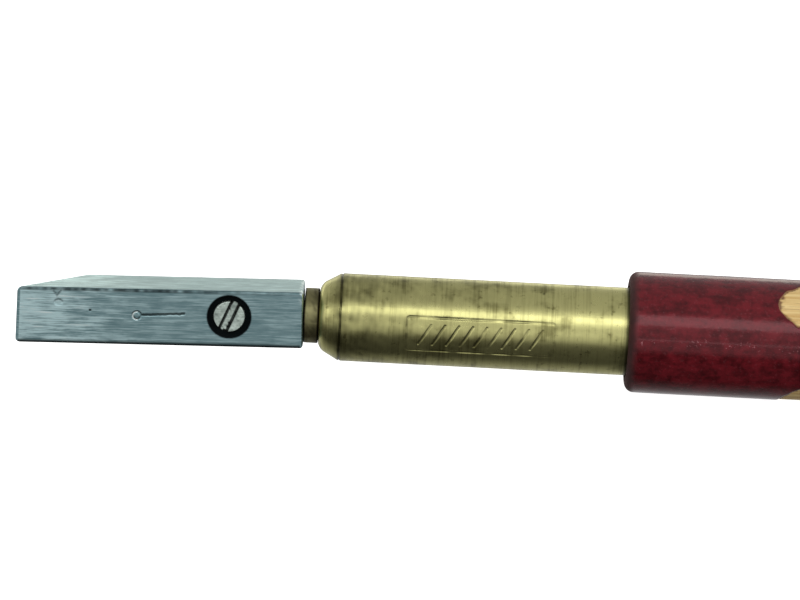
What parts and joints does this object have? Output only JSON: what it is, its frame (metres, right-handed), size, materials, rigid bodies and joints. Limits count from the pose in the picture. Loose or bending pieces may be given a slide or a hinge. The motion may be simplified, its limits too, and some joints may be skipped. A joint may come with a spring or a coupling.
{
  "type": "glass cutter",
  "caption": "Glazier's diamond: square steel head with an oblique stone face, swivelling in a brass barrel set in a lacquered wooden handle.",
  "frame": {"origin": "on the tool's axis, in the middle of the handle's cylindrical grip", "axes": "+X along the tool from the head towards the handle's end, -Y out of the head's marked side, +Z out of the head's guide side"},
  "size_m": [0.1728, 0.0126, 0.0126],
  "materials": {
    "head_steel": "brushed, worn bright at the tip",
    "screw_steel": "turned",
    "hardware_steel": "plain",
    "stud_copper": "copper, filed",
    "solder": "soft solder",
    "stone": "rough diamond",
    "barrel_brass": "turned, dulled",
    "spindle_brass": "turned, tarnished",
    "handle_lacquer": "dark red gloss lacquer",
    "bare_wood": "bare wood where the lacquer has chipped"
  },
  "bodies": {
    "handle": {"handle": "handle_lacquer", "tang": "hardware_steel", "barrel_plug": "spindle_brass", "barrel": "barrel_brass", "spring_washer": "hardware_steel"},
    "head": {"head_block": "head_steel", "stone_stud": "stud_copper", "stone_solder": "solder", "diamond": "stone", "clamp_pad": "spindle_brass", "spindle": "spindle_brass", "thrust_washer": "hardware_steel", "spindle_nut": "hardware_steel", "stop_pin": "hardware_steel"},
    "screw": {"clamp_screw": "screw_steel"}
  },
  "joints": [
    {"name": "head_swivel", "type": "hinge", "parent": "handle", "child": "head", "pos_m": [-0.0655, 0, 0], "axis": [1, 0, 0], "range_deg": [-15, 15]},
    {"name": "screw_turn", "type": "hinge", "parent": "head", "child": "screw", "pos_m": [-0.07449, 0, 0.00015], "axis": [0, -1, 0], "range_deg": [0, 90]}
  ]
}
